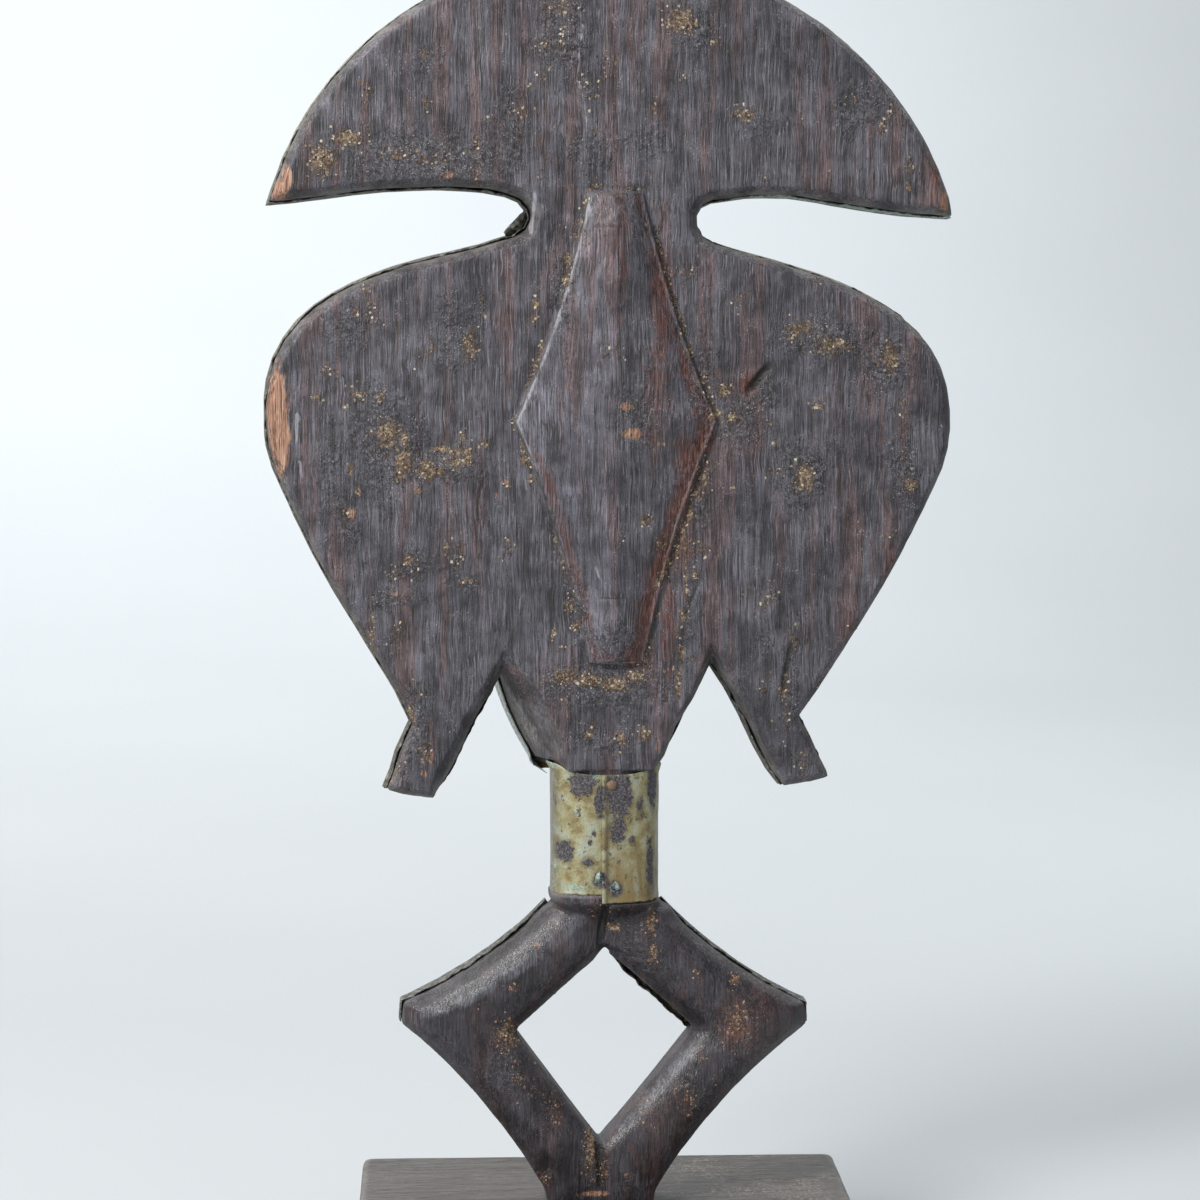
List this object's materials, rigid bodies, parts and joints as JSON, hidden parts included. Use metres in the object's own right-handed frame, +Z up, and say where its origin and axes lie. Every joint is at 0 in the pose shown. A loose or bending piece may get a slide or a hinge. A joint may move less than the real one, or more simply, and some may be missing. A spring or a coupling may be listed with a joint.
{
  "type": "guardian figure on plinth",
  "caption": "Wooden guardian figure with crescent crest, side panels, oval sheathed face, brass neck collar and open lozenge body, standing on a rectangular wooden plinth.",
  "frame": {"origin": "on the plinth's underside, under the middle of the whole", "axes": "+Z up, the sheathed face looks along -Y and the bare wooden back along +Y"},
  "size_m": [0.3112, 0.176, 0.6002],
  "materials": {
    "carved_wood": "aged, dark, worn to a dull shine",
    "face_metal": "beaten sheet, tarnished",
    "collar_metal": "beaten sheet, olive with dark patches",
    "tack_metal": "corroded, green in the corners",
    "plinth_wood": "grey-brown, matt"
  },
  "bodies": {
    "root": {"wooden_figure": "carved_wood", "crest_sheet": "face_metal", "side_sheet_left": "face_metal", "side_sheet_right": "face_metal", "face_sheet": "face_metal", "limb_sheet_left": "face_metal", "limb_sheet_right": "face_metal", "neck_collar": "collar_metal", "collar_tack_top": "tack_metal", "collar_tack_left": "tack_metal", "collar_tack_right": "tack_metal", "plinth": "plinth_wood"}
  },
  "joints": []
}
